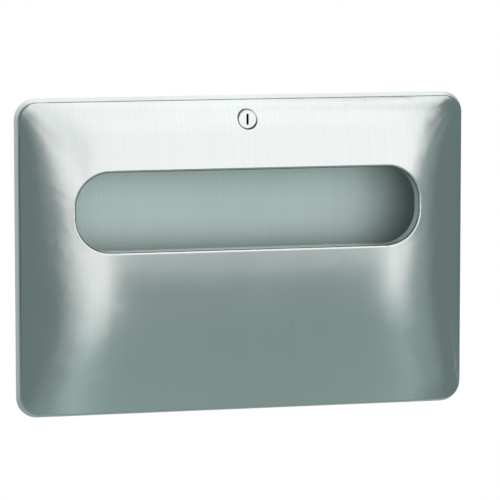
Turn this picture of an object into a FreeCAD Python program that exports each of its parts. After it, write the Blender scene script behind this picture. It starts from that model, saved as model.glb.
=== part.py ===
import FreeCAD, Part
import math
import os

V = FreeCAD.Vector

# Recessed toilet seat cover dispenser in brushed stainless sheet, all sizes in millimetres.
# X runs to the right and Z up as seen from the front, and the front faces -Y.
# The origin is the centre of the four wall screw holes, on the back face of the cabinet.

# Cabinet box, folded from sheet, which sits in the hole in the wall
BOX_WIDTH = 400.0
BOX_HEIGHT = 284.0
RECESS_DEPTH = 38.0
BOX_SHEET = 0.8
BOX_CORNER_RADIUS = 4.0
BOX_FOLD_RADIUS = 1.6

# Screw holes in the back and in each side wall
BACK_HOLE_RADIUS = 3.25
BACK_HOLE_SPACING_ACROSS = 304.8
BACK_HOLE_SPACING_UP = 203.2
SIDE_HOLE_RADIUS = 2.75
SIDE_HOLE_SPACING = 203.2
SIDE_HOLE_FROM_BACK = 19.0

# Door, one drawn sheet with turned edges and a crowned face, which overlaps the box all round
DOOR_OVERLAP_SIDE = 19.0
DOOR_OVERLAP_TOP = 7.4
DOOR_WIDTH = BOX_WIDTH + 2 * DOOR_OVERLAP_SIDE
DOOR_HEIGHT = BOX_HEIGHT + 2 * DOOR_OVERLAP_TOP
DOOR_CORNER_RADIUS = 17.0
DOOR_SHEET = 1.2
DOOR_WALL_DEPTH = 6.9
DOOR_BEND_RADIUS = 1.5
DOOR_SEAT_GAP = 0.3
CROWN_HEIGHT = 28.5
CROWN_SIDE_POWER = 7.0
CROWN_TOP_POWER = 5.2
CROWN_BOTTOM_POWER = 2.0
CROWN_CORNER_BLEND = 1.1
CROWN_CORNER_POWER = 20
BOTTOM_EDGE_BOW = 7.0

# Rim flange, a frame whose bevelled edge shows round the door
FLANGE_SHEET = 0.8
FLANGE_REVEAL = 3.3
FLANGE_BEVEL_RISE = 1.3
FLANGE_LIP = 1.2
FLANGE_COLLAR_DEPTH = 12.0

# Opening that the covers are pulled out of, with its edge drawn inwards
OPENING_WIDTH = 338.0
OPENING_HEIGHT = 76.0
OPENING_END_FLAT = 10.0
OPENING_CENTRE_FROM_TOP = 103.9
OPENING_RETURN_DEPTH = 19.0
OPENING_LIP_RADIUS = 2.0

# Channel and angles that stiffen the door from inside
STIFFENER_SHEET = 1.0
STIFFENER_FROM_TOP = 34.4
STIFFENER_FLANGE = 9.0
STIFFENER_FROM_EDGE = 14.0
CHANNEL_SHORT_OF_HINGE = 3.0
CHANNEL_HEIGHT = 25.0
WELD_GAP = 0.1

# Piano hinge along the bottom
HINGE_FROM_SIDE = 24.0
HINGE_KNUCKLES = 11
HINGE_KNUCKLE_RADIUS = 2.4
HINGE_PIN_RADIUS = 1.0
HINGE_PIN_CLEARANCE = 0.05
HINGE_KNUCKLE_GAP = 0.4
HINGE_LEAF_SHEET = 1.0
HINGE_AXIS_OFF_FLANGE = 3.0
HINGE_AXIS_OVER_EDGE = 2.6
DOOR_LEAF_HEIGHT = 22.0
CABINET_LEAF_DEPTH = 11.0

# Rivets
RIVET_RADIUS = 1.6
RIVET_HEAD_RADIUS = 3.0
RIVET_HEAD_HEIGHT = 1.0
RIVET_CLEARANCE = 0.05
FLUSH_HEAD_LAND = 0.2
HINGE_RIVETS = 4
HINGE_RIVET_FROM_END = 45.0

# Key lock near the top of the door
LOCK_FROM_TOP = 18.4
LOCK_HEAD_RADIUS = 9.2
LOCK_HEAD_BEVEL = 0.5
LOCK_STAND = 14.7
LOCK_HOLE_CLEARANCE = 0.6
LOCK_BARREL_RADIUS = 8.0
LOCK_BARREL_FLATS = 14.0
LOCK_BARREL_TAIL = 6.0
PLUG_FACE_RADIUS = 8.3
PLUG_FACE_THICKNESS = 2.5
PLUG_FACE_SETBACK = 0.2
PLUG_RADIUS = 5.5
PLUG_TAIL = 6.0
PLUG_CLEARANCE = 0.05
KEY_SLOT_HEIGHT = 10.5
KEY_SLOT_WIDTH = 2.2
KEY_SLOT_DEPTH = 13.0
LOCK_NUT_ACROSS_FLATS = 20.0
LOCK_NUT_THICKNESS = 3.2
LOCK_WASHER_RADIUS = 10.5
LOCK_WASHER_THICKNESS = 0.8
LOCK_BRACKET_WIDTH = 44.0
LOCK_BRACKET_HEIGHT = 26.0

# Cam on the tail of the plug, and the strike that it turns behind
CAM_THICKNESS = 2.0
CAM_HUB_RADIUS = 8.0
CAM_WIDTH = 12.0
CAM_REACH = 24.0
CAM_SQUARE = 6.0
CAM_STUD_RADIUS = 2.5
CAM_STUD_END = 1.5
CAM_WASHER_RADIUS = 5.5
CAM_WASHER_THICKNESS = 0.8
CAM_NUT_ACROSS_FLATS = 8.0
CAM_NUT_THICKNESS = 3.0
STRIKE_SHEET = 1.2
STRIKE_CAM_GAP = 1.2
STRIKE_FROM_LOCK = 12.0
STRIKE_WIDTH = 20.0
STRIKE_DROP = 16.0
STRIKE_SEAT_DEPTH = 9.5

# Lip that holds the pack of covers in the cabinet, and door bumpers
RETAINER_SHEET = 1.0
RETAINER_FROM_SIDE = 15.0
RETAINER_HEIGHT = 29.0
RETAINER_BASE = 14.0
RETAINER_NOTCH_WIDTH = 90.0
RETAINER_NOTCH_DEPTH = 14.0
RETAINER_CORNER_RADIUS = 6.0
BUMPER_RADIUS = 4.0
BUMPER_HEIGHT = 1.6
BUMPER_FROM_STIFFENER_END = 20.0

# Planes and heights that follow from the sizes above
Y_WALL = -RECESS_DEPTH
Y_FLANGE_REAR = Y_WALL - FLANGE_BEVEL_RISE
Y_FLANGE = Y_FLANGE_REAR - FLANGE_SHEET
Y_DOOR_REAR = Y_FLANGE - DOOR_SEAT_GAP
Y_EDGE = Y_DOOR_REAR - DOOR_WALL_DEPTH
Y_STIFFENER_REAR = Y_FLANGE - BUMPER_HEIGHT - DOOR_SEAT_GAP
Y_AXIS = Y_FLANGE - HINGE_AXIS_OFF_FLANGE
Z_AXIS = HINGE_AXIS_OVER_EDGE - DOOR_HEIGHT / 2
Z_FLOOR = FLANGE_SHEET + BOX_SHEET - BOX_HEIGHT / 2
Z_CEILING = -Z_FLOOR
Y_DOOR_LEAF = Y_AXIS - HINGE_KNUCKLE_RADIUS
Y_LOCK_FACE = Y_EDGE - LOCK_STAND
Y_BRACKET_REAR = Y_EDGE
Y_BARREL_END = Y_EDGE + LOCK_BARREL_TAIL
Y_CAM = Y_BARREL_END + PLUG_TAIL
Y_STRIKE_REAR = Y_CAM - STRIKE_CAM_GAP
OPENING_CORNER_RADIUS = (OPENING_HEIGHT - OPENING_END_FLAT) / 2
OPENING_CENTRE_HEIGHT = DOOR_HEIGHT / 2 - OPENING_CENTRE_FROM_TOP
LOCK_HEIGHT = DOOR_HEIGHT / 2 - LOCK_FROM_TOP
HINGE_LENGTH = DOOR_WIDTH - 2 * HINGE_FROM_SIDE
CHANNEL_LENGTH = HINGE_LENGTH - 2 * CHANNEL_SHORT_OF_HINGE
STIFFENER_LENGTH = DOOR_HEIGHT - 2 * STIFFENER_FROM_TOP
RETAINER_LENGTH = BOX_WIDTH - 2 * RETAINER_FROM_SIDE
BUMPER_SPACING_UP = STIFFENER_LENGTH - 2 * BUMPER_FROM_STIFFENER_END
SMALL = 1.0


def block(x0, x1, y0, y1, z0, z1):
    return Part.makeBox(x1 - x0, y1 - y0, z1 - z0, V(x0, y0, z0))


def rod(radius, start, end):
    run = end - start
    return Part.makeCylinder(radius, run.Length, start, run)


def rounded_outline(width, height, radius, y, centre_z=0.0):
    """Rectangle with round corners, in the plane at y."""
    half_w = width / 2
    half_h = height / 2
    edges = []
    corners = [(1, 1, 0), (-1, 1, 90), (-1, -1, 180), (1, -1, 270)]
    for side, up, turn in corners:
        centre = V(side * (half_w - radius), y, centre_z + up * (half_h - radius))
        ends = []
        for step in (0, 45, 90):
            a = math.radians(turn + step)
            ends.append(centre + V(math.cos(a), 0, math.sin(a)) * radius)
        if edges:
            edges.append(Part.LineSegment(last, ends[0]).toShape())
        else:
            first = ends[0]
        edges.append(Part.Arc(*ends).toShape())
        last = ends[2]
    edges.append(Part.LineSegment(last, first).toShape())
    return Part.Wire(edges)


def rounded_prism(width, height, radius, y0, y1, centre_z=0.0):
    outline = rounded_outline(width, height, radius, y0, centre_z)
    return Part.Face(outline).extrude(V(0, y1 - y0, 0))


def hexagon(across_flats, y0, y1, z):
    reach = across_flats / math.sqrt(3)
    corners = []
    for i in range(7):
        a = math.radians(60 * i)
        corners.append(V(reach * math.cos(a), y0, z + reach * math.sin(a)))
    return Part.Face(Part.makePolygon(corners)).extrude(V(0, y1 - y0, 0))


def crown(x, z):
    """Height of the door's face in front of its edge.

    The curve across and the curve up meet in soft mitres, which run into the corners, and
    all edges stay level but the bottom one, which bows forward.
    """
    side = abs(2 * x / DOOR_WIDTH)
    end = abs(2 * z / DOOR_HEIGHT)
    fall = end ** (CROWN_TOP_POWER if z > 0 else CROWN_BOTTOM_POWER)
    across = 1 - side ** CROWN_SIDE_POWER
    along = 1 - fall
    k = CROWN_CORNER_BLEND
    mitre = (abs(across) ** k + abs(along) ** k - abs(across * along) ** k) ** (1 / k)
    corner = 1 - min(side * end, 1) ** CROWN_CORNER_POWER
    height = CROWN_HEIGHT * corner * across * along / mitre
    return height if z > 0 else height + BOTTOM_EDGE_BOW * across * fall


def skin_y(x, z, inset):
    """Place of the door's face at x and z, a sheet's thickness inset behind it."""
    slope_x = (crown(x + 0.5, z) - crown(x - 0.5, z))
    slope_z = (crown(x, z + 0.5) - crown(x, z - 0.5))
    return Y_EDGE - crown(x, z) + inset * math.sqrt(1 + slope_x ** 2 + slope_z ** 2)


def closer_at_ends(count, half):
    """Places from -half to half, closer together where the crown bends most."""
    places = []
    for i in range(count + 1):
        t = 2 * i / count - 1
        places.append(half * (0.2 * t + 0.8 * math.sin(math.pi / 2 * t)))
    return places


def behind_skin(inset):
    """Everything behind the crowned face, as far back as the door reaches."""
    columns = closer_at_ends(20, DOOR_WIDTH / 2 + 4)
    rows = closer_at_ends(16, DOOR_HEIGHT / 2 + 4)
    grid = [[V(x, skin_y(x, z, inset), z) for z in rows] for x in columns]
    surface = Part.BSplineSurface()
    surface.interpolate(grid)
    return surface.toShape().extrude(V(0, CROWN_HEIGHT + 3 * DOOR_WALL_DEPTH, 0))


def pan_form(inset):
    """Solid form of the door, or of the hollow in it when inset by the sheet."""
    width = DOOR_WIDTH - 2 * inset
    height = DOOR_HEIGHT - 2 * inset
    radius = DOOR_CORNER_RADIUS - inset
    front = Y_EDGE - CROWN_HEIGHT - SMALL
    back = Y_DOOR_REAR + (SMALL if inset else 0)
    return rounded_prism(width, height, radius, front, back).common(behind_skin(inset))


def opening_prism(grow, y0, y1):
    width = OPENING_WIDTH + 2 * grow
    height = OPENING_HEIGHT + 2 * grow
    radius = OPENING_CORNER_RADIUS + grow
    return rounded_prism(width, height, radius, y0, y1, OPENING_CENTRE_HEIGHT)


def front_bend_edges(form):
    """Edges where the crowned face meets the turned walls."""
    found = []
    for edge in form.Edges:
        box = edge.BoundBox
        if box.YMax < Y_DOOR_REAR - SMALL:
            found.append(edge)
    return found


def opening_lip_edges(shell):
    """Edges where the crowned face turns into the wall round the opening."""
    found = []
    half_w = OPENING_WIDTH / 2 + 0.1
    half_h = OPENING_HEIGHT / 2 + 0.1
    for edge in shell.Edges:
        box = edge.BoundBox
        inside = max(box.XMax, -box.XMin) < half_w
        inside = inside and box.ZMax < OPENING_CENTRE_HEIGHT + half_h
        inside = inside and box.ZMin > OPENING_CENTRE_HEIGHT - half_h
        middle = edge.valueAt((edge.FirstParameter + edge.LastParameter) / 2)
        if inside and abs(middle.y - skin_y(middle.x, middle.z, 0)) < 0.1:
            found.append(edge)
    return found


def hinge_relief():
    """Room at the door's bottom edge for the knuckles and for the wall to swing past the flange."""
    half_w = DOOR_WIDTH / 2
    z_bottom = -DOOR_HEIGHT / 2 - SMALL
    swing = block(-half_w, half_w, Y_AXIS, Y_FLANGE, z_bottom, Z_AXIS)
    half_l = HINGE_LENGTH / 2 + HINGE_KNUCKLE_GAP
    front = Y_AXIS - HINGE_KNUCKLE_RADIUS - HINGE_KNUCKLE_GAP
    return swing.fuse(block(-half_l, half_l, front, Y_AXIS, z_bottom, Z_AXIS))


def make_door_shell():
    outer = pan_form(0)
    outer = outer.makeFillet(DOOR_BEND_RADIUS, front_bend_edges(outer))
    shell = outer.cut(pan_form(DOOR_SHEET))
    return_rear = Y_EDGE - CROWN_HEIGHT + OPENING_RETURN_DEPTH
    front = Y_EDGE - CROWN_HEIGHT - SMALL
    wall = opening_prism(DOOR_SHEET, front, return_rear).common(outer)
    shell = shell.fuse(wall).cut(opening_prism(0, front, Y_WALL))
    shell = shell.removeSplitter()
    shell = shell.makeFillet(OPENING_LIP_RADIUS, opening_lip_edges(shell))
    lock_hole = LOCK_HEAD_RADIUS + LOCK_HOLE_CLEARANCE
    shell = shell.cut(rod(lock_hole, V(0, front, LOCK_HEIGHT), V(0, Y_EDGE, LOCK_HEIGHT)))
    return shell.cut(hinge_relief())


def raised_head(place, out):
    top_radius = 0.6 * RIVET_HEAD_RADIUS
    return Part.makeCone(RIVET_HEAD_RADIUS, top_radius, RIVET_HEAD_HEIGHT, place, out)


def flush_head(start, end, grow):
    """Head sunk into the sheet at start, or its countersink when grown."""
    depth = HINGE_LEAF_SHEET - FLUSH_HEAD_LAND
    wide = RIVET_HEAD_RADIUS + grow
    return Part.makeCone(wide, RIVET_RADIUS + grow, depth, start, end - start)


def rivet(start, end, flush):
    """Rivet whose heads bear on the sheets at start and end, or are flush at start."""
    along = V(end - start).normalize()
    shank = rod(RIVET_RADIUS, start, end).fuse(raised_head(end, along))
    first = flush_head(start, end, 0) if flush else raised_head(start, along * -1)
    return shank.fuse(first).removeSplitter()


def rivet_hole(start, end):
    return rod(RIVET_RADIUS + RIVET_CLEARANCE, start, end)


def hinge_rivet_places():
    first = HINGE_RIVET_FROM_END - HINGE_LENGTH / 2
    pitch = -2 * first / (HINGE_RIVETS - 1)
    return [first + i * pitch for i in range(HINGE_RIVETS)]


def strike_rivet_lines():
    lines = []
    y = (Y_STRIKE_REAR + STRIKE_SEAT_DEPTH + Y_STRIKE_REAR) / 2
    for share in (0.25, 0.75):
        x = STRIKE_FROM_LOCK + share * STRIKE_WIDTH
        lines.append((V(x, y, Z_CEILING - STRIKE_SHEET), V(x, y, BOX_HEIGHT / 2)))
    return lines


def cabinet_leaf_rivet_lines():
    lines = []
    y = Y_FLANGE + CABINET_LEAF_DEPTH / 2
    for x in hinge_rivet_places():
        lines.append((V(x, y, Z_FLOOR + HINGE_LEAF_SHEET), V(x, y, -BOX_HEIGHT / 2)))
    return lines


def door_leaf_rivet_lines():
    lines = []
    z = Z_AXIS + 0.7 * DOOR_LEAF_HEIGHT
    rear = Y_DOOR_LEAF + HINGE_LEAF_SHEET
    front = Y_DOOR_LEAF - STIFFENER_SHEET
    for x in hinge_rivet_places():
        lines.append((V(x, rear, z), V(x, front, z)))
    return lines


def drill(shape, lines):
    for start, end in lines:
        shape = shape.cut(rivet_hole(start, end))
    return shape


def make_rivets(lines, flush=False):
    return Part.Compound([rivet(start, end, flush) for start, end in lines])


def make_cabinet_box():
    outer = rounded_prism(BOX_WIDTH, BOX_HEIGHT, BOX_CORNER_RADIUS, Y_FLANGE_REAR, 0)
    back_edges = [e for e in outer.Edges if e.BoundBox.YMin > -SMALL]
    outer = outer.makeFillet(BOX_FOLD_RADIUS, back_edges)
    width = BOX_WIDTH - 2 * BOX_SHEET
    height = BOX_HEIGHT - 2 * BOX_SHEET
    radius = BOX_CORNER_RADIUS - BOX_SHEET
    box = outer.cut(rounded_prism(width, height, radius, Y_FLANGE_REAR, -BOX_SHEET))
    for side in (-1, 1):
        for up in (-1, 1):
            x = side * BACK_HOLE_SPACING_ACROSS / 2
            z = up * BACK_HOLE_SPACING_UP / 2
            box = box.cut(rod(BACK_HOLE_RADIUS, V(x, -2 * BOX_SHEET, z), V(x, BOX_SHEET, z)))
            z = up * SIDE_HOLE_SPACING / 2
            start = V(side * (BOX_WIDTH / 2 - 2 * BOX_SHEET), -SIDE_HOLE_FROM_BACK, z)
            end = V(side * (BOX_WIDTH / 2 + BOX_SHEET), -SIDE_HOLE_FROM_BACK, z)
            box = box.cut(rod(SIDE_HOLE_RADIUS, start, end))
    return drill(box, strike_rivet_lines() + cabinet_leaf_rivet_lines())


def bevelled_form(shrink, y0, y1, y2):
    """Plate from y0 to y1 whose edge is then bevelled as far as y2."""
    width = DOOR_WIDTH + 2 * (FLANGE_REVEAL - shrink)
    height = DOOR_HEIGHT + 2 * (FLANGE_REVEAL - shrink)
    radius = DOOR_CORNER_RADIUS + FLANGE_REVEAL - shrink
    foot = rounded_outline(width, height, radius, y1)
    run = 2 * FLANGE_REVEAL
    head = rounded_outline(width - run, height - run, radius - FLANGE_REVEAL, y2)
    bevel = Part.makeLoft([foot, head], True, True)
    if y1 == y0:
        return bevel
    return rounded_prism(width, height, radius, y0, y1).fuse(bevel)


def make_rim_flange():
    front = bevelled_form(0, Y_WALL, Y_WALL - FLANGE_SHEET, Y_FLANGE)
    rear = bevelled_form(FLANGE_LIP, Y_WALL, Y_WALL, Y_FLANGE_REAR)
    width = BOX_WIDTH - 2 * BOX_SHEET
    height = BOX_HEIGHT - 2 * BOX_SHEET
    radius = BOX_CORNER_RADIUS - BOX_SHEET
    collar_rear = Y_FLANGE + FLANGE_COLLAR_DEPTH
    collar = rounded_prism(width, height, radius, Y_FLANGE, collar_rear)
    mouth_width = width - 2 * FLANGE_SHEET
    mouth_height = height - 2 * FLANGE_SHEET
    mouth_radius = radius - FLANGE_SHEET
    mouth = rounded_prism(
        mouth_width, mouth_height, mouth_radius, Y_FLANGE - SMALL, collar_rear + SMALL
    )
    flange = front.cut(rear).fuse(collar).cut(mouth).removeSplitter()
    return drill(flange, strike_rivet_lines() + cabinet_leaf_rivet_lines())


def knuckle_spans():
    """Start and end of each knuckle along the hinge, from the left."""
    pitch = HINGE_LENGTH / HINGE_KNUCKLES
    spans = []
    for i in range(HINGE_KNUCKLES):
        start = i * pitch - HINGE_LENGTH / 2
        spans.append((start + HINGE_KNUCKLE_GAP / 2, start + pitch - HINGE_KNUCKLE_GAP / 2))
    return spans


def add_knuckles(leaf, own):
    """Rolls the leaf's own knuckles, and notches it round the other leaf's."""
    bore = HINGE_PIN_RADIUS + HINGE_PIN_CLEARANCE
    notch = HINGE_KNUCKLE_RADIUS + HINGE_KNUCKLE_GAP
    for i, (start, end) in enumerate(knuckle_spans()):
        left = V(start, Y_AXIS, Z_AXIS)
        right = V(end, Y_AXIS, Z_AXIS)
        if i % 2 == own:
            leaf = leaf.fuse(rod(HINGE_KNUCKLE_RADIUS, left, right))
            leaf = leaf.cut(rod(bore, left, right))
        else:
            gap = HINGE_KNUCKLE_GAP
            room = block(
                start - gap, end + gap, Y_AXIS - notch, Y_AXIS + notch + SMALL,
                Z_AXIS - notch, Z_AXIS + notch
            )
            leaf = leaf.cut(room)
    return leaf.removeSplitter()


def make_cabinet_hinge_leaf():
    half = HINGE_LENGTH / 2 - HINGE_KNUCKLE_GAP / 2
    top = Z_FLOOR + HINGE_LEAF_SHEET
    front = Y_FLANGE - HINGE_LEAF_SHEET
    upright = block(-half, half, front, Y_FLANGE, Z_AXIS, top)
    tread = block(-half, half, front, Y_FLANGE + CABINET_LEAF_DEPTH, Z_FLOOR, top)
    leaf = add_knuckles(upright.fuse(tread), 0)
    return drill(leaf, cabinet_leaf_rivet_lines())


def make_door_hinge_leaf():
    half = HINGE_LENGTH / 2 - HINGE_KNUCKLE_GAP / 2
    rear = Y_DOOR_LEAF + HINGE_LEAF_SHEET
    plate = block(-half, half, Y_DOOR_LEAF, rear, Z_AXIS, Z_AXIS + DOOR_LEAF_HEIGHT)
    leaf = drill(add_knuckles(plate, 1), door_leaf_rivet_lines())
    for start, end in door_leaf_rivet_lines():
        leaf = leaf.cut(flush_head(start, end, RIVET_CLEARANCE))
    return leaf


def make_hinge_pin():
    half = HINGE_LENGTH / 2
    return rod(HINGE_PIN_RADIUS, V(-half, Y_AXIS, Z_AXIS), V(half, Y_AXIS, Z_AXIS))


def make_door_bottom_channel(hollow):
    """Channel welded in the bottom of the door, its flanges trimmed to the crown."""
    half = CHANNEL_LENGTH / 2
    front = Y_EDGE - CROWN_HEIGHT
    z0 = DOOR_SHEET + WELD_GAP - DOOR_HEIGHT / 2
    z1 = z0 + CHANNEL_HEIGHT
    body = block(-half, half, front, Y_DOOR_LEAF, z0, z1)
    t = STIFFENER_SHEET
    room = block(-half, half, front, Y_DOOR_LEAF - t, z0 + t, z1 - t)
    channel = body.cut(room).common(hollow)
    return drill(channel, door_leaf_rivet_lines())


def make_door_stiffener(side, hollow):
    """Upright angle beside the opening, its web trimmed to the crown."""
    half = STIFFENER_LENGTH / 2
    outside = DOOR_WIDTH / 2 - STIFFENER_FROM_EDGE + STIFFENER_FLANGE
    web = outside - STIFFENER_FLANGE
    t = STIFFENER_SHEET
    front = Y_EDGE - CROWN_HEIGHT
    plate = block(web - t, web, front, Y_STIFFENER_REAR, -half, half)
    flange = block(web, outside, Y_STIFFENER_REAR - t, Y_STIFFENER_REAR, -half, half)
    angle = plate.fuse(flange).removeSplitter()
    if side < 0:
        angle = angle.mirror(V(0, 0, 0), V(1, 0, 0))
    return angle.common(hollow)


def barrel(radius, flats, y0, y1):
    """Round barrel with two flats, which keep it from turning in its hole."""
    body = rod(radius, V(0, y0, LOCK_HEIGHT), V(0, y1, LOCK_HEIGHT))
    half = flats / 2
    return body.common(block(-half, half, y0, y1, LOCK_HEIGHT - radius, LOCK_HEIGHT + radius))


def make_lock_bracket(hollow):
    """Flat-backed channel behind the crown that gives the lock a square seat."""
    half_w = LOCK_BRACKET_WIDTH / 2
    z0 = LOCK_HEIGHT - LOCK_BRACKET_HEIGHT / 2
    z1 = LOCK_HEIGHT + LOCK_BRACKET_HEIGHT / 2
    t = STIFFENER_SHEET
    front = Y_EDGE - CROWN_HEIGHT
    body = block(-half_w, half_w, front, Y_BRACKET_REAR, z0, z1)
    room = block(t - half_w, half_w - t, front, Y_BRACKET_REAR - t, z0, z1)
    gap = WELD_GAP
    hole = barrel(
        LOCK_BARREL_RADIUS + gap, LOCK_BARREL_FLATS + 2 * gap,
        Y_BRACKET_REAR - 2 * t, Y_BRACKET_REAR + t
    )
    return body.cut(room).common(hollow).cut(hole)


def make_lock_body():
    seat = Y_BRACKET_REAR - STIFFENER_SHEET
    face = V(0, Y_LOCK_FACE, LOCK_HEIGHT)
    head = rod(LOCK_HEAD_RADIUS, face, V(0, seat, LOCK_HEIGHT))
    rim = [e for e in head.Edges if e.BoundBox.YMax < Y_LOCK_FACE + 0.1]
    head = head.makeChamfer(LOCK_HEAD_BEVEL, rim)
    body = head.fuse(barrel(LOCK_BARREL_RADIUS, LOCK_BARREL_FLATS, seat, Y_BARREL_END))
    counterbore_end = Y_LOCK_FACE + PLUG_FACE_SETBACK + PLUG_FACE_THICKNESS + PLUG_CLEARANCE
    wide = rod(PLUG_FACE_RADIUS + PLUG_CLEARANCE, face, V(0, counterbore_end, LOCK_HEIGHT))
    bore = rod(PLUG_RADIUS + PLUG_CLEARANCE, face, V(0, Y_BARREL_END, LOCK_HEIGHT))
    return body.cut(wide).cut(bore).removeSplitter()


def make_lock_washer():
    y1 = Y_BRACKET_REAR + LOCK_WASHER_THICKNESS
    disc = rod(LOCK_WASHER_RADIUS, V(0, Y_BRACKET_REAR, LOCK_HEIGHT), V(0, y1, LOCK_HEIGHT))
    bore = LOCK_BARREL_RADIUS + WELD_GAP
    return disc.cut(rod(bore, V(0, Y_BRACKET_REAR, LOCK_HEIGHT), V(0, y1, LOCK_HEIGHT)))


def make_lock_nut():
    y0 = Y_BRACKET_REAR + LOCK_WASHER_THICKNESS
    y1 = y0 + LOCK_NUT_THICKNESS
    nut = hexagon(LOCK_NUT_ACROSS_FLATS, y0, y1, LOCK_HEIGHT)
    bore = LOCK_BARREL_RADIUS + PLUG_CLEARANCE
    return nut.cut(rod(bore, V(0, y0, LOCK_HEIGHT), V(0, y1, LOCK_HEIGHT)))


def make_lock_plug():
    z = LOCK_HEIGHT
    y0 = Y_LOCK_FACE + PLUG_FACE_SETBACK
    y1 = y0 + PLUG_FACE_THICKNESS
    plug = rod(PLUG_FACE_RADIUS, V(0, y0, z), V(0, y1, z))
    plug = plug.fuse(rod(PLUG_RADIUS, V(0, y1, z), V(0, Y_CAM, z)))
    half = CAM_SQUARE / 2
    cam_rear = Y_CAM + CAM_THICKNESS
    plug = plug.fuse(block(-half, half, Y_CAM, cam_rear, z - half, z + half))
    stud_end = cam_rear + CAM_WASHER_THICKNESS + CAM_NUT_THICKNESS + CAM_STUD_END
    plug = plug.fuse(rod(CAM_STUD_RADIUS, V(0, cam_rear, z), V(0, stud_end, z)))
    half_w = KEY_SLOT_WIDTH / 2
    half_h = KEY_SLOT_HEIGHT / 2
    slot = block(-half_w, half_w, y0, y0 + KEY_SLOT_DEPTH, z - half_h, z + half_h)
    return plug.cut(slot)


def make_lock_cam():
    """Flat cam, which hangs down when the lock is open."""
    z = LOCK_HEIGHT
    y1 = Y_CAM + CAM_THICKNESS
    hub = rod(CAM_HUB_RADIUS, V(0, Y_CAM, z), V(0, y1, z))
    half = CAM_WIDTH / 2
    tongue = block(-half, half, Y_CAM, y1, z - CAM_REACH, z)
    tip = [e for e in tongue.Edges if e.BoundBox.ZMax < z - CAM_REACH + 0.1]
    tip = [e for e in tip if e.BoundBox.YLength > CAM_THICKNESS / 2]
    cam = hub.fuse(tongue.makeFillet(CAM_WIDTH / 4, tip)).removeSplitter()
    half = CAM_SQUARE / 2 + PLUG_CLEARANCE
    return cam.cut(block(-half, half, Y_CAM, y1, z - half, z + half))


def make_cam_washer():
    y0 = Y_CAM + CAM_THICKNESS
    y1 = y0 + CAM_WASHER_THICKNESS
    disc = rod(CAM_WASHER_RADIUS, V(0, y0, LOCK_HEIGHT), V(0, y1, LOCK_HEIGHT))
    bore = CAM_STUD_RADIUS + PLUG_CLEARANCE
    return disc.cut(rod(bore, V(0, y0, LOCK_HEIGHT), V(0, y1, LOCK_HEIGHT)))


def make_cam_nut():
    y0 = Y_CAM + CAM_THICKNESS + CAM_WASHER_THICKNESS
    y1 = y0 + CAM_NUT_THICKNESS
    nut = hexagon(CAM_NUT_ACROSS_FLATS, y0, y1, LOCK_HEIGHT)
    bore = CAM_STUD_RADIUS + PLUG_CLEARANCE
    return nut.cut(rod(bore, V(0, y0, LOCK_HEIGHT), V(0, y1, LOCK_HEIGHT)))


def make_strike():
    """Angle under the top of the cabinet, beside the lock, that the cam turns behind."""
    x0 = STRIKE_FROM_LOCK
    x1 = STRIKE_FROM_LOCK + STRIKE_WIDTH
    t = STRIKE_SHEET
    front = Y_STRIKE_REAR - t
    leg = block(x0, x1, front, Y_STRIKE_REAR, Z_CEILING - STRIKE_DROP, Z_CEILING)
    seat = block(x0, x1, front, Y_STRIKE_REAR + STRIKE_SEAT_DEPTH, Z_CEILING - t, Z_CEILING)
    strike = leg.fuse(seat).removeSplitter()
    return drill(strike, strike_rivet_lines())


def make_pack_retainer():
    """Lip on the cabinet floor, with a notch to lift the pack by."""
    half = RETAINER_LENGTH / 2
    t = RETAINER_SHEET
    floor = BOX_SHEET - BOX_HEIGHT / 2
    front = Y_FLANGE + FLANGE_COLLAR_DEPTH + FLANGE_SHEET
    lip = block(-half, half, front, front + t, floor, floor + RETAINER_HEIGHT)
    upper = [e for e in lip.Edges if e.BoundBox.ZMin > floor + RETAINER_HEIGHT - 0.1]
    upper = [e for e in upper if e.BoundBox.YLength > t / 2]
    lip = lip.makeFillet(RETAINER_CORNER_RADIUS, upper)
    notch_half = RETAINER_NOTCH_WIDTH / 2
    notch_floor = floor + RETAINER_HEIGHT - RETAINER_NOTCH_DEPTH
    notch = block(
        -notch_half, notch_half, front, front + t, notch_floor, floor + RETAINER_HEIGHT + SMALL
    )
    base = block(-half, half, front, front + RETAINER_BASE, floor, floor + t)
    return lip.cut(notch).fuse(base).removeSplitter()


def make_door_bumpers():
    """Rubber dots on the flange that the door's side angles close against."""
    x = DOOR_WIDTH / 2 - STIFFENER_FROM_EDGE + STIFFENER_FLANGE / 2
    dots = []
    for side in (-1, 1):
        for up in (-1, 1):
            z = up * BUMPER_SPACING_UP / 2
            foot = V(side * x, Y_FLANGE, z)
            dot = Part.makeCone(
                BUMPER_RADIUS, 0.75 * BUMPER_RADIUS, BUMPER_HEIGHT, foot, V(0, -1, 0)
            )
            dots.append(dot)
    return Part.Compound(dots)


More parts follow.
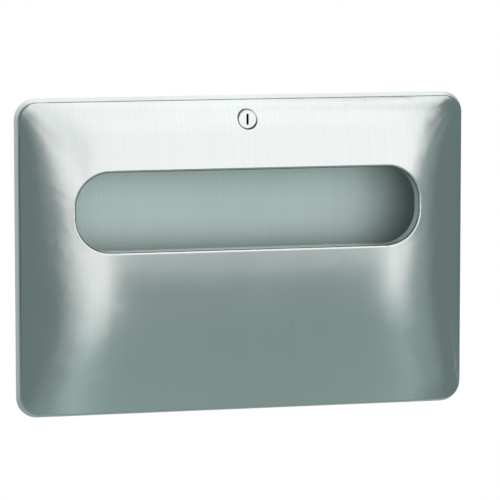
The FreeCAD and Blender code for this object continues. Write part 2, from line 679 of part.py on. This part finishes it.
def main():
    hollow = pan_form(DOOR_SHEET + WELD_GAP)
    pieces = {
        "cabinet_box": make_cabinet_box(),
        "rim_flange": make_rim_flange(),
        "cabinet_hinge_leaf": make_cabinet_hinge_leaf(),
        "cabinet_leaf_rivets": make_rivets(cabinet_leaf_rivet_lines()),
        "hinge_pin": make_hinge_pin(),
        "strike": make_strike(),
        "strike_rivets": make_rivets(strike_rivet_lines()),
        "pack_retainer": make_pack_retainer(),
        "door_bumpers": make_door_bumpers(),
        "door_shell": make_door_shell(),
        "door_bottom_channel": make_door_bottom_channel(hollow),
        "door_stiffener_left": make_door_stiffener(-1, hollow),
        "door_stiffener_right": make_door_stiffener(1, hollow),
        "door_hinge_leaf": make_door_hinge_leaf(),
        "door_leaf_rivets": make_rivets(door_leaf_rivet_lines(), flush=True),
        "lock_bracket": make_lock_bracket(hollow),
        "lock_body": make_lock_body(),
        "lock_washer": make_lock_washer(),
        "lock_nut": make_lock_nut(),
        "lock_plug": make_lock_plug(),
        "lock_cam": make_lock_cam(),
        "cam_washer": make_cam_washer(),
        "cam_nut": make_cam_nut(),
    }
    os.makedirs("parts", exist_ok=True)
    for name, shape in pieces.items():
        shape.exportStep("parts/" + name + ".step")


main()
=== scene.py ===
import bmesh
import bpy
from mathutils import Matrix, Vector


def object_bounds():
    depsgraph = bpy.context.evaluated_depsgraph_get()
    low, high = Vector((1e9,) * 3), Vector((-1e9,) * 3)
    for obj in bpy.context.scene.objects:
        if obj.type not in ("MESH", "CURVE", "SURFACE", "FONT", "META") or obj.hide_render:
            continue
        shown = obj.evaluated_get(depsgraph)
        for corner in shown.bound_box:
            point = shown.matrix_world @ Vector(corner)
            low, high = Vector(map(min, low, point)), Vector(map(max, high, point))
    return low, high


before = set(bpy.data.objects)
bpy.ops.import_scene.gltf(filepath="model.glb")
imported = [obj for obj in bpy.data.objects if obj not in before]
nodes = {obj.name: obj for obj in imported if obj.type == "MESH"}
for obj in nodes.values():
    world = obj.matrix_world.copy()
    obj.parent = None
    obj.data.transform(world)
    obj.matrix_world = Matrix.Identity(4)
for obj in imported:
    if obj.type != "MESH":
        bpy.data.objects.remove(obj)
cad_low, cad_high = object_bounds()

MM = 0.001

# Camera, worked out from the four straight edges of the door in the photo. The lens and the
# sensor are in millimetres, and the reach is in metres
CAMERA_PLACE = Vector((-811.2, -3169.2, 375.1)) * MM
CAMERA_AIM = Vector((6.2, -47.3, 3.4)) * MM
CAMERA_LENS = 242.55
CAMERA_SENSOR = 36.0
CAMERA_REACH = 100.0

# Floor, in metres, as far below the dispenser as the floor of a room would be
FLOOR_DROP = 1.10
FLOOR_WIDTH = 14.0
FLOOR_FRONT = -1.1
FLOOR_BACK = 3.4

# Sizes of the patterns in the finishes, in millimetres on the real surface. A real belt line is
# about 0.1 mm wide; it is drawn as wide as a pixel so that it shows
GRAIN_WIDTH = 1.1
GRAIN_LENGTH = 900.0
CLOUD_SIZE = 120.0
PLATING_MARK = 1.0
BLOOM_SIZE = 1.5
ROLLER_PATCH = 200.0

# Values of the noise between which the lines go from darkest to lightest, and the patches from
# glossiest to dullest
LINES_REACH = (0.25, 0.75)
CLOUDS_REACH = (0.3, 0.7)

# How far a belt line differs from the sheet's colour, how far a patch differs from its roughness,
# and how far the grain's line leans towards the wall
LINE_TONE = 0.04
CLOUD_MATT = 0.02
GRAIN_LEAN = 0.02

# How far the tool's marks change a turned piece's colour and its roughness, and how far the
# plating's marks change the roughness of the plug's face
TOOL_TONE = 0.06
TOOL_MATT = 0.2
PLATING_MATT = 0.04

# Inside of a drawn sheet: how squarely a face looks back where the mill finish starts and is full
MILL_STARTS = 0.02
MILL_FULL = 0.10

# Painted shade in the keyway and on all of the plug that lies behind its face, in millimetres
# behind the face where it starts and is full
KEYWAY_SHADE_STARTS = 0.1
KEYWAY_SHADE_FULL = 0.9

# Colours of the studio: its lights, its screens, the room at its sides and the room behind
WHITE = "#FFFFFF"
GREY = "#B9D0CD"
SCREEN = "#BCD4D2"
UNLIT = "#363D3C"

# Strength of the room at the sides and of the ceiling light
SIDES = 0.42
CEILING = 1.45

# Lights and screens, each hung in front of the ones before it. A row holds its strength and
# colour, the degrees across where it starts, is full, fades and ends, the same upwards, and how
# far its left and right sides lean inwards for each degree up. An edge past 90 degrees up or
# down is never met
STUDIO = (
    (0.69, GREY, (-31.5, 44.0, 44.8, 60.9), (-95.0, -92.0, 3.9, 13.8), (0.54, -0.52)),
    (1.05, GREY, (-10.2, -0.7, 0.1, 3.4), (-90.0, -80.0, -11.2, -10.0), (-0.24, 0.26)),
    (0.92, GREY, (20.2, 22.8, 23.6, 28.8), (-90.0, -80.0, -8.5, -7.5), (-0.07, 0.08)),
    (1.33, WHITE, (-35.9, -3.9, 4.2, 9.1), (-31.2, -14.9, -0.3, 20.3), (-1.05, 0.06)),
    (1.51, WHITE, (19.4, 24.4, 26.7, 42.9), (-23.5, -12.3, 1.6, 26.2), (-0.06, -0.51)),
    (1.06, WHITE, (-36.4, 9.1, 14.2, 47.2), (-13.5, 1.8, 95.0, 96.0), (0.08, 0.05)),
    (0.60, GREY, (-8.1, -4.5, -3.3, 0.7), (-3.0, 3.0, 62.4, 89.2), (0.14, -0.29)),
    (1.47, WHITE, (-59.4, 27.3, 30.8, 38.3), (-6.6, -3.9, 43.1, 129.2), (0.07, -0.03)),
    (1.67, WHITE, (-30.3, -17.3, -15.9, -12.5), (29.1, 77.3, 95.0, 96.0), (0.82, -1.11)),
)

# Degrees up where the ceiling light starts and is full
OVERHEAD = (70.0, 80.0)

# How far back a direction points where the unlit room starts and is full, and the same for the
# white ground in metal that faces it
ROOM_BEHIND = (0.10, 0.30)
GROUND_BEHIND = (0.80, 0.93)

# Sockets of a Mix node that mixes colours
MIX_SHARE = 0
MIX_BELOW = 6
MIX_ABOVE = 7
MIX_RESULT = 2


def colour(code):
    """Linear colour, with alpha, of an sRGB hex value."""
    parts = [int(code[i:i + 2], 16) / 255 for i in (1, 3, 5)]
    linear = [c / 12.92 if c <= 0.04045 else ((c + 0.055) / 1.055) ** 2.4 for c in parts]
    return (*linear, 1.0)


def glow(strength, code):
    """Linear colour, with alpha, of a light or screen at its strength."""
    return (*(strength * part for part in colour(code)[:3]), 1.0)


def add(tree, kind, settings=None):
    """Adds a node with its settings. A setting that is another node's output becomes a link."""
    node = tree.nodes.new(kind)
    for name, value in (settings or {}).items():
        if isinstance(value, bpy.types.NodeSocket):
            tree.links.new(value, node.inputs[name])
        elif isinstance(name, int) or name in node.inputs:
            node.inputs[name].default_value = value
        else:
            setattr(node, name, value)
    return node


def new_material(name):
    material = bpy.data.materials.new(name)
    material.use_nodes = True
    material.node_tree.nodes.clear()
    return material, material.node_tree


def close_material(tree, settings):
    """Ends a material's tree with the surface that the settings describe."""
    surface = add(tree, "ShaderNodeBsdfPrincipled", settings)
    add(tree, "ShaderNodeOutputMaterial", {"Surface": surface.outputs[0]})


def mottle(tree, base, pattern, tones, reach=(0.0, 1.0)):
    """A colour that a pattern makes darker where it is low and lighter where it is high."""
    tone = add(
        tree, "ShaderNodeMapRange",
        {"Value": pattern, "From Min": reach[0], "From Max": reach[1],
         "To Min": tones[0], "To Max": tones[1]}
    )
    tint = add(
        tree, "ShaderNodeVectorMath",
        {"operation": "SCALE", 0: colour(base)[:3], "Scale": tone.outputs[0]}
    )
    return tint.outputs[0]


def brushed_stainless(name, base, roughness, grain_axis="Z", strength=1.0, spread=0.25,
                      inside=None):
    """Type 304 stainless sheet with a satin belt grain, which shows as fine straight lines and
    spreads each reflection across them. A value for inside is the roughness of the inside of
    a drawn sheet."""
    material, tree = new_material(name)
    place = add(tree, "ShaderNodeTexCoord")
    # The lines run along Z or X. On a crowned face they also stay straight over its slopes
    across = 1 / (GRAIN_WIDTH * MM)
    along = 1 / (GRAIN_LENGTH * MM)
    scale = {
        "Z": (across, across, along),
        "X": (along, across, across),
        "FACE": (across, along, along),
    }[grain_axis]
    stretch = add(tree, "ShaderNodeMapping", {"Scale": scale, "Vector": place.outputs["Object"]})
    lines = add(
        tree, "ShaderNodeTexNoise",
        {"Scale": 1.0, "Detail": 2.0, "Roughness": 0.5, "Vector": stretch.outputs[0]}
    )
    clouds = add(
        tree, "ShaderNodeTexNoise",
        {"Scale": 1 / (CLOUD_SIZE * MM), "Detail": 2.0, "Vector": place.outputs["Object"]}
    )
    tones = (1 - LINE_TONE * strength, 1 + LINE_TONE * strength)
    tint = mottle(tree, base, lines.outputs[0], tones, LINES_REACH)
    matt = add(
        tree, "ShaderNodeMapRange",
        {"clamp": False, "Value": clouds.outputs[0],
         "From Min": CLOUDS_REACH[0], "From Max": CLOUDS_REACH[1],
         "To Min": roughness - CLOUD_MATT, "To Max": roughness + CLOUD_MATT}
    )
    if inside is not None:
        # Only the outside of a drawn sheet is belt-ground; its inside keeps the dull mill finish
        face = add(tree, "ShaderNodeSeparateXYZ", {0: place.outputs["Normal"]})
        matt = add(
            tree, "ShaderNodeMapRange",
            {"Value": face.outputs["Y"], "From Min": MILL_STARTS, "From Max": MILL_FULL,
             "To Min": matt.outputs[0], "To Max": inside}
        )
    # The tangent lies in the sheet and across the grain, where the light spreads. The grain's
    # line leans a little, or there would be no tangent on walls that it meets squarely
    skin = add(tree, "ShaderNodeNewGeometry")
    grain = (1.0, GRAIN_LEAN, 0.0) if grain_axis == "X" else (0.0, GRAIN_LEAN, 1.0)
    side = add(
        tree, "ShaderNodeVectorMath",
        {"operation": "CROSS_PRODUCT", 0: grain, 1: skin.outputs["Normal"]}
    )
    across_grain = add(
        tree, "ShaderNodeVectorMath", {"operation": "NORMALIZE", 0: side.outputs[0]}
    )
    close_material(tree, {
        "Metallic": 1.0, "Anisotropic": spread, "Base Color": tint,
        "Roughness": matt.outputs[0], "Tangent": across_grain.outputs[0]
    })
    return material


def turned_metal(name, base, roughness, tool_mark):
    """Turned or pressed small metal part, with faint marks of the tool."""
    material, tree = new_material(name)
    place = add(tree, "ShaderNodeTexCoord")
    marks = add(
        tree, "ShaderNodeTexNoise",
        {"Scale": 1 / (tool_mark * MM), "Detail": 3.0, "Vector": place.outputs["Object"]}
    )
    tint = mottle(tree, base, marks.outputs[0], (1 - TOOL_TONE, 1 + TOOL_TONE))
    matt = add(
        tree, "ShaderNodeMapRange",
        {"Value": marks.outputs[0], "To Min": roughness * (1 - TOOL_MATT),
         "To Max": roughness * (1 + TOOL_MATT)}
    )
    close_material(tree, {
        "Metallic": 1.0, "Base Color": tint, "Roughness": matt.outputs[0]
    })
    return material


def keyed_plug(name, base, roughness, face):
    """Satin plated face of a lock's plug. Painted shade darkens it to near black behind the face,
    in its keyway.
    """
    material, tree = new_material(name)
    place = add(tree, "ShaderNodeTexCoord")
    spun = add(
        tree, "ShaderNodeTexNoise",
        {"Scale": 1 / (PLATING_MARK * MM), "Detail": 3.0, "Vector": place.outputs["Object"]}
    )
    depth = add(tree, "ShaderNodeSeparateXYZ", {0: place.outputs["Object"]})
    # Painted shade: near black on everything set back behind the plug's face, such as its keyway
    keyway_shade = add(
        tree, "ShaderNodeMapRange",
        {"Value": depth.outputs["Y"], "From Min": face + KEYWAY_SHADE_STARTS * MM,
         "From Max": face + KEYWAY_SHADE_FULL * MM}
    )
    tint = add(
        tree, "ShaderNodeMix",
        {"data_type": "RGBA", MIX_SHARE: keyway_shade.outputs[0], MIX_BELOW: colour(base),
         MIX_ABOVE: colour("#141516")}
    )
    matt = add(
        tree, "ShaderNodeMapRange",
        {"Value": spun.outputs[0], "To Min": roughness - PLATING_MATT,
         "To Max": roughness + PLATING_MATT}
    )
    close_material(tree, {
        "Metallic": 1.0, "Base Color": tint.outputs[MIX_RESULT], "Roughness": matt.outputs[0]
    })
    return material


def moulded_rubber(name):
    """Black moulded rubber, matt, with a faint bloom."""
    material, tree = new_material(name)
    place = add(tree, "ShaderNodeTexCoord")
    bloom = add(
        tree, "ShaderNodeTexNoise",
        {"Scale": 1 / (BLOOM_SIZE * MM), "Detail": 4.0, "Vector": place.outputs["Object"]}
    )
    tint = mottle(tree, "#26282A", bloom.outputs[0], tones=(0.8, 1.3))
    close_material(tree, {"Roughness": 0.75, "Base Color": tint})
    return material


def painted_floor():
    """Pale matt painted floor, with the slight unevenness of a roller."""
    material, tree = new_material("floor_pale_paint")
    place = add(tree, "ShaderNodeTexCoord")
    roller = add(
        tree, "ShaderNodeTexNoise",
        {"Scale": 1 / (ROLLER_PATCH * MM), "Detail": 3.0, "Vector": place.outputs["Object"]}
    )
    tint = mottle(tree, "#E9EFEE", roller.outputs[0], tones=(0.98, 1.02))
    close_material(tree, {"Roughness": 0.8, "Base Color": tint})
    return material


def finish_with(material, *names):
    for name in names:
        mesh = nodes[name].data
        mesh.materials.clear()
        mesh.materials.append(material)


def make_floor():
    mesh = bpy.data.meshes.new("floor")
    shape = bmesh.new()
    bmesh.ops.create_grid(shape, x_segments=1, y_segments=1, size=0.5)
    bmesh.ops.scale(shape, vec=(FLOOR_WIDTH, FLOOR_BACK - FLOOR_FRONT, 1), verts=shape.verts)
    middle = (FLOOR_BACK + FLOOR_FRONT) / 2
    bmesh.ops.translate(shape, vec=(0, middle, cad_low.z - FLOOR_DROP), verts=shape.verts)
    shape.to_mesh(mesh)
    shape.free()
    floor = bpy.data.objects.new("floor", mesh)
    bpy.context.scene.collection.objects.link(floor)
    mesh.materials.append(painted_floor())


def hang(tree, room, edges, look):
    """Hangs a light or screen in front of the room. Each soft edge is a way to measure the
    direction looked in, and the two values where the light starts and is full."""
    share = 1.0
    for measure, start, full in edges:
        edge = add(
            tree, "ShaderNodeMapRange",
            {"interpolation_type": "SMOOTHSTEP", "Value": measure,
             "From Min": start, "From Max": full}
        )
        share = add(
            tree, "ShaderNodeMath", {"operation": "MULTIPLY", 0: share, 1: edge.outputs[0]}
        ).outputs[0]
    front = add(
        tree, "ShaderNodeMix",
        {"data_type": "RGBA", MIX_SHARE: share, MIX_BELOW: room, MIX_ABOVE: look}
    )
    return front.outputs[MIX_RESULT]


def leaning(tree, operation, azimuth, height, lean):
    """Degrees across, measured from a side that leans."""
    shift = add(tree, "ShaderNodeMath", {"operation": "MULTIPLY", 0: height, 1: lean})
    return add(
        tree, "ShaderNodeMath", {"operation": operation, 0: azimuth, 1: shift.outputs[0]}
    ).outputs[0]


def light_studio():
    """Soft studio: the table's lights and screens in front, a white ceiling light that reaches
    past overhead, an unlit room behind, and a white ground straight behind the dispenser."""
    world = bpy.data.worlds.new("studio")
    bpy.context.scene.world = world
    world.use_nodes = True
    tree = world.node_tree
    tree.nodes.clear()
    # In a world, Generated is the direction looked in
    place = add(tree, "ShaderNodeTexCoord")
    way = add(tree, "ShaderNodeSeparateXYZ", {0: place.outputs["Generated"]})
    back = way.outputs["Y"]
    ahead = add(tree, "ShaderNodeMath", {"operation": "MULTIPLY", 0: back, 1: -1.0})
    turn = add(
        tree, "ShaderNodeMath",
        {"operation": "ARCTAN2", 0: way.outputs["X"], 1: ahead.outputs[0]}
    )
    rise = add(tree, "ShaderNodeMath", {"operation": "ARCSINE", 0: way.outputs["Z"]})
    azimuth, height = (
        add(tree, "ShaderNodeMath", {"operation": "DEGREES", 0: angle.outputs[0]}).outputs[0]
        for angle in (turn, rise)
    )
    room = glow(SIDES, SCREEN)
    for strength, code, across, up, lean in STUDIO:
        left = leaning(tree, "SUBTRACT", azimuth, height, lean[0])
        right = leaning(tree, "ADD", azimuth, height, lean[1])
        edges = (
            (left, across[0], across[1]), (right, across[3], across[2]),
            (height, up[0], up[1]), (height, up[3], up[2]),
        )
        room = hang(tree, room, edges, glow(strength, code))
    room = hang(tree, room, ((height, *OVERHEAD),), glow(CEILING, WHITE))
    room = hang(tree, room, ((back, *ROOM_BEHIND),), colour(UNLIT))
    # The ground behind is white to the eye, and in metal that faces it
    ray = add(tree, "ShaderNodeLightPath")
    behind = add(
        tree, "ShaderNodeMapRange",
        {"Value": back, "From Min": GROUND_BEHIND[0], "From Max": GROUND_BEHIND[1]}
    )
    shiny = add(
        tree, "ShaderNodeMath",
        {"operation": "MAXIMUM", 0: ray.outputs["Is Glossy Ray"],
         1: ray.outputs["Is Transmission Ray"]}
    )
    mirrored = add(
        tree, "ShaderNodeMath",
        {"operation": "MULTIPLY", 0: shiny.outputs[0], 1: behind.outputs[0]}
    )
    white = add(
        tree, "ShaderNodeMath",
        {"operation": "MAXIMUM", 0: ray.outputs["Is Camera Ray"], 1: mirrored.outputs[0]}
    )
    lit = add(tree, "ShaderNodeBackground", {"Color": room})
    ground = add(tree, "ShaderNodeBackground", {"Color": colour(WHITE)})
    both = add(
        tree, "ShaderNodeMixShader",
        {0: white.outputs[0], 1: lit.outputs[0], 2: ground.outputs[0]}
    )
    add(tree, "ShaderNodeOutputWorld", {"Surface": both.outputs[0]})


def place_camera():
    data = bpy.data.cameras.new("camera")
    data.sensor_width = CAMERA_SENSOR
    data.lens = CAMERA_LENS
    data.clip_end = CAMERA_REACH
    camera = bpy.data.objects.new("camera", data)
    camera.location = CAMERA_PLACE
    camera.rotation_euler = (CAMERA_AIM - CAMERA_PLACE).to_track_quat("-Z", "Y").to_euler()
    bpy.context.scene.collection.objects.link(camera)
    bpy.context.scene.camera = camera


def finish_pieces():
    # The door's grain runs straight up its crowned face, which mirrors the studio softly
    finish_with(
        brushed_stainless(
            "door_satin_304", "#CBCFCE", 0.14, "FACE", strength=0.8, inside=0.60
        ),
        "door_shell"
    )
    # Inside the cabinet the sheet is left matt, so that it shows even and without reflections.
    # Its base colour is paler and more blue-green than the door's, painted light that brightens
    # the shaded inside seen through the opening
    finish_with(
        brushed_stainless("cabinet_matt_304", "#CFE0DD", 0.55, strength=0.7, spread=0.0),
        "cabinet_box", "pack_retainer"
    )
    # The flange is ground duller than the door. Its base colour is paler than the door's, a
    # painted highlight that makes it show as a pale rim
    finish_with(brushed_stainless("flange_satin_304", "#E6EBEA", 0.42), "rim_flange")
    # Folded pieces that only show with the door down have a plainer, greyer satin
    finish_with(
        brushed_stainless("inner_satin_304", "#BFC4C3", 0.36, strength=0.7),
        "door_bottom_channel", "door_stiffener_left", "door_stiffener_right",
        "lock_bracket", "strike"
    )
    # Hinge strip is rolled lengthwise, so its faint lines run along the pin
    finish_with(
        brushed_stainless("hinge_rolled_304", "#BDC2C1", 0.30, "X", strength=0.5),
        "cabinet_hinge_leaf", "door_hinge_leaf", "hinge_pin"
    )
    # Rivet heads are pressed, and shine a little where the tool burnished them
    finish_with(
        turned_metal("rivet_304", "#C9CCCB", 0.30, tool_mark=0.8),
        "cabinet_leaf_rivets", "door_leaf_rivets", "strike_rivets"
    )
    # The lock's head is turned and satin chrome plated, pale and softly shiny
    finish_with(
        turned_metal("lock_satin_chrome", "#DDE3E2", 0.42, tool_mark=1.0), "lock_body"
    )
    face = min(corner.co.y for corner in nodes["lock_plug"].data.vertices)
    finish_with(keyed_plug("lock_plug_satin_plate", "#FCFDFD", 0.42, face), "lock_plug")
    # Zinc plate on pressed steel is bluish grey and a little dull
    finish_with(
        turned_metal("zinc_plated_steel", "#B9BEC2", 0.38, tool_mark=1.2),
        "lock_washer", "lock_nut", "lock_cam", "cam_washer", "cam_nut"
    )
    finish_with(moulded_rubber("bumper_black_rubber"), "door_bumpers")


bpy.context.scene.view_settings.view_transform = "Standard"
place_camera()
light_studio()
make_floor()
finish_pieces()
